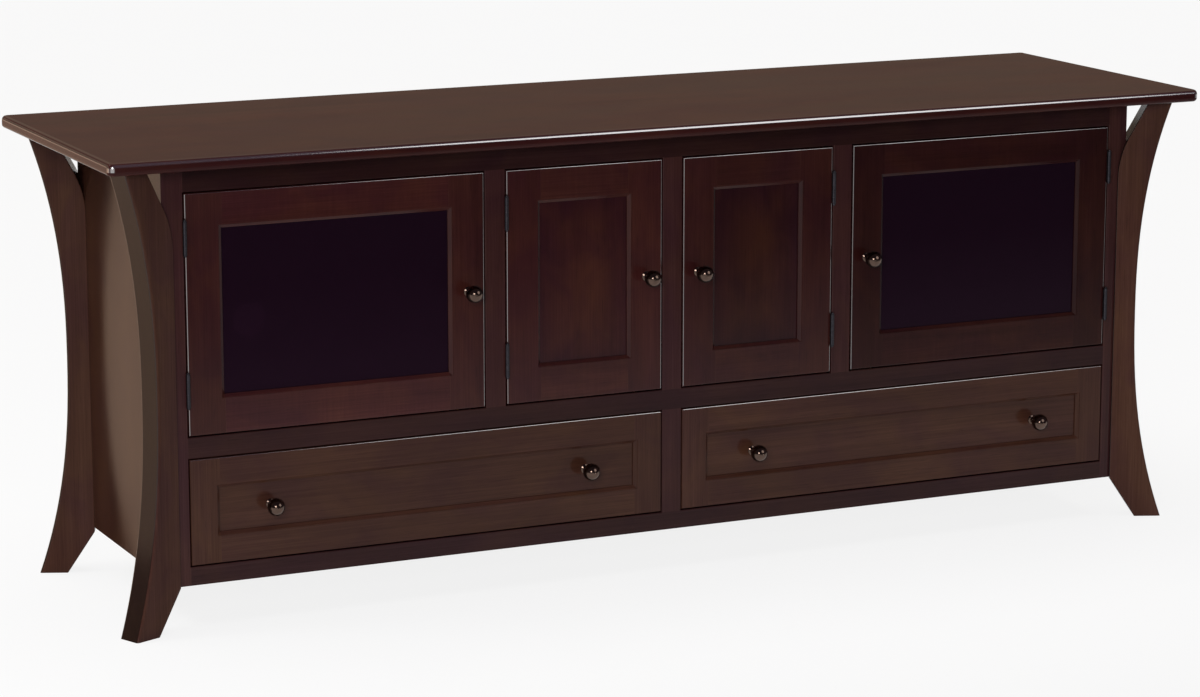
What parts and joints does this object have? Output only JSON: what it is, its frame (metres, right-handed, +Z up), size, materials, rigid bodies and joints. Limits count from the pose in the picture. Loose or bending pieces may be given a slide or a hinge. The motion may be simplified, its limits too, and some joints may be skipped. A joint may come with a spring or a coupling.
{
  "type": "media stand",
  "caption": "Long low dark-wood media stand with an overhanging rounded top, curved corner legs, glass outer doors, panelled inner doors and framed drawers below.",
  "frame": {"origin": "on the floor under the middle of the top", "axes": "+X to the right along the length seen from the front, +Y to the back, +Z up"},
  "size_m": [1.93, 0.572, 0.749],
  "materials": {
    "top_wood": "dark stained, semi-gloss lacquer",
    "leg_wood": "dark stained, semi-gloss lacquer",
    "case_wood": "dark stained, semi-gloss lacquer",
    "face_wood": "dark stained, semi-gloss lacquer",
    "door_wood": "dark stained, semi-gloss lacquer",
    "drawer_front_wood": "dark stained, semi-gloss lacquer",
    "inside_wood": "dark stained, satin",
    "back_wood": "dark stained, satin",
    "drawer_box_wood": "clear lacquer",
    "door_glass": "smoked, polished",
    "knob_bronze": "dark bronze, polished",
    "hinge_metal": "dark bronze, satin",
    "slide_steel": "zinc plated",
    "plain_steel": "nickel plated",
    "catch_brass": "polished"
  },
  "bodies": {
    "cabinet": {"top_panel": "top_wood", "leg_front_left": "leg_wood", "leg_front_right": "leg_wood", "leg_rear_left": "leg_wood", "leg_rear_right": "leg_wood", "side_panel_left": "case_wood", "side_panel_right": "case_wood", "bottom_panel": "inside_wood", "deck_panel": "inside_wood", "bay_partitions": "inside_wood", "drawer_partition": "inside_wood", "top_stretchers": "inside_wood", "outer_shelves": "inside_wood", "centre_shelf": "inside_wood", "back_panels": "back_wood", "face_top_rail": "face_wood", "face_mid_rail": "face_wood", "face_bottom_rail": "face_wood", "face_end_stiles": "face_wood", "face_mullions": "face_wood", "shelf_pins": "plain_steel", "hinge_frame_leaves": "hinge_metal", "hinge_pins": "hinge_metal", "slide_cabinet_members": "slide_steel", "slide_spacers": "inside_wood", "bullet_catches": "catch_brass"},
    "glass_door_left": {"glass_door_left_stiles": "door_wood", "glass_door_left_rails": "door_wood", "glass_door_left_glass": "door_glass", "glass_door_left_glass_stops": "door_wood", "glass_door_left_knob": "knob_bronze", "glass_door_left_hinge_leaves": "hinge_metal"},
    "panel_door_left": {"panel_door_left_stiles": "door_wood", "panel_door_left_rails": "door_wood", "panel_door_left_panel": "door_wood", "panel_door_left_knob": "knob_bronze", "panel_door_left_hinge_leaves": "hinge_metal"},
    "panel_door_right": {"panel_door_right_stiles": "door_wood", "panel_door_right_rails": "door_wood", "panel_door_right_panel": "door_wood", "panel_door_right_knob": "knob_bronze", "panel_door_right_hinge_leaves": "hinge_metal"},
    "glass_door_right": {"glass_door_right_stiles": "door_wood", "glass_door_right_rails": "door_wood", "glass_door_right_glass": "door_glass", "glass_door_right_glass_stops": "door_wood", "glass_door_right_knob": "knob_bronze", "glass_door_right_hinge_leaves": "hinge_metal"},
    "drawer_left": {"drawer_left_front_frame": "drawer_front_wood", "drawer_left_front_panel": "drawer_front_wood", "drawer_left_box": "drawer_box_wood", "drawer_left_knobs": "knob_bronze", "drawer_left_slide_members": "slide_steel"},
    "drawer_right": {"drawer_right_front_frame": "drawer_front_wood", "drawer_right_front_panel": "drawer_front_wood", "drawer_right_box": "drawer_box_wood", "drawer_right_knobs": "knob_bronze", "drawer_right_slide_members": "slide_steel"},
    "slide_left": {"slide_middle_members_left": "slide_steel"},
    "slide_right": {"slide_middle_members_right": "slide_steel"}
  },
  "joints": [
    {"name": "glass_door_left_hinge", "type": "hinge", "parent": "cabinet", "child": "glass_door_left", "pos_m": [-0.828, -0.2235, 0.496], "axis": [0, 0, -1], "range_deg": [0, 115]},
    {"name": "panel_door_left_hinge", "type": "hinge", "parent": "cabinet", "child": "panel_door_left", "pos_m": [-0.29415, -0.2235, 0.496], "axis": [0, 0, -1], "range_deg": [0, 100]},
    {"name": "panel_door_right_hinge", "type": "hinge", "parent": "cabinet", "child": "panel_door_right", "pos_m": [0.29415, -0.2235, 0.496], "axis": [0, 0, 1], "range_deg": [0, 100]},
    {"name": "glass_door_right_hinge", "type": "hinge", "parent": "cabinet", "child": "glass_door_right", "pos_m": [0.828, -0.2235, 0.496], "axis": [0, 0, 1], "range_deg": [0, 115]},
    {"name": "drawer_left_slide", "type": "slide", "parent": "cabinet", "child": "drawer_left", "axis": [0, -1, 0], "range_m": [0, 0.38]},
    {"name": "slide_left_travel", "type": "slide", "parent": "cabinet", "child": "slide_left", "axis": [0, -1, 0], "range_m": [0, 0.19]},
    {"name": "drawer_right_slide", "type": "slide", "parent": "cabinet", "child": "drawer_right", "axis": [0, -1, 0], "range_m": [0, 0.38]},
    {"name": "slide_right_travel", "type": "slide", "parent": "cabinet", "child": "slide_right", "axis": [0, -1, 0], "range_m": [0, 0.19]}
  ],
  "couplings": [
    {"joint": "slide_left_travel", "follows": "drawer_left_slide", "ratio": 0.5},
    {"joint": "slide_right_travel", "follows": "drawer_right_slide", "ratio": 0.5}
  ]
}
